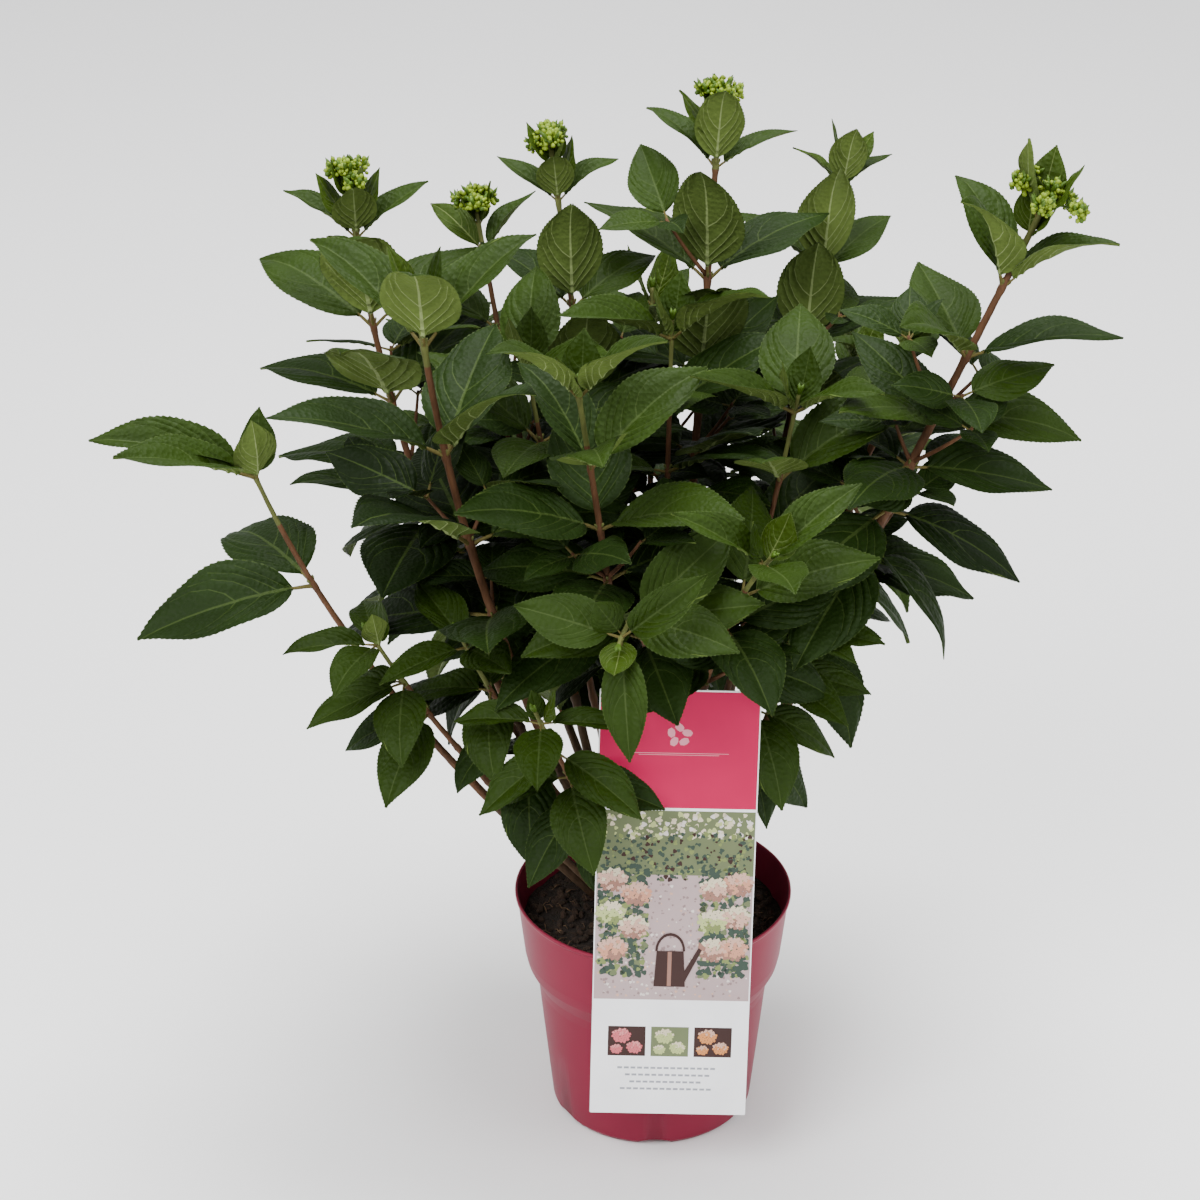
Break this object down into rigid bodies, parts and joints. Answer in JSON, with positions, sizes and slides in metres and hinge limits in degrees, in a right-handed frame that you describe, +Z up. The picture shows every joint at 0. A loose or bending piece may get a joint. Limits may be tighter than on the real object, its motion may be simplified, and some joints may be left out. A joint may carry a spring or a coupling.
{
  "type": "potted hydrangea shrub",
  "caption": "Young panicle hydrangea in a flared plastic nursery pot: spreading leafy shoots from a low woody crown, small green flower buds, and a picture card hooked over the rim.",
  "frame": {"origin": "middle of the pot's flat underside", "axes": "+Z up, -Y the front, where the card hangs, +X to the right seen from the front"},
  "size_m": [0.655, 0.507, 0.7193],
  "materials": {
    "pot": "satin",
    "soil": "matte",
    "card": "satin",
    "stems": "matte",
    "foliage": "satin"
  },
  "bodies": {
    "root": {"bough_back_left": "stems", "bough_back_mid": "stems", "bough_back_right": "stems", "bough_centre_front": "stems", "bough_centre_left": "stems", "bough_centre_tall": "stems", "bough_far_left": "stems", "bough_front_right": "stems", "bough_inner_left": "stems", "bough_inner_mid": "stems", "bough_inner_right": "stems", "bough_left_back": "stems", "bough_left_front": "stems", "bough_left_mid": "stems", "bough_low_back": "stems", "bough_low_front": "stems", "bough_low_left": "stems", "bough_low_mid": "stems", "bough_low_right": "stems", "bough_low_side": "stems", "bough_right": "stems", "bough_right_back": "stems", "bough_right_mid": "stems", "card_label": "card", "foliage_back_left": "foliage", "foliage_back_mid": "foliage", "foliage_back_right": "foliage", "foliage_centre_front": "foliage", "foliage_centre_left": "foliage", "foliage_centre_tall": "foliage", "foliage_far_left": "foliage", "foliage_front_right": "foliage", "foliage_inner_left": "foliage", "foliage_inner_mid": "foliage", "foliage_inner_right": "foliage", "foliage_left_back": "foliage", "foliage_left_front": "foliage", "foliage_left_mid": "foliage", "foliage_low_back": "foliage", "foliage_low_front": "foliage", "foliage_low_left": "foliage", "foliage_low_mid": "foliage", "foliage_low_right": "foliage", "foliage_low_side": "foliage", "foliage_right": "foliage", "foliage_right_back": "foliage", "foliage_right_mid": "foliage", "pot": "pot", "root_ball": "soil", "woody_crown": "stems"}
  },
  "joints": []
}
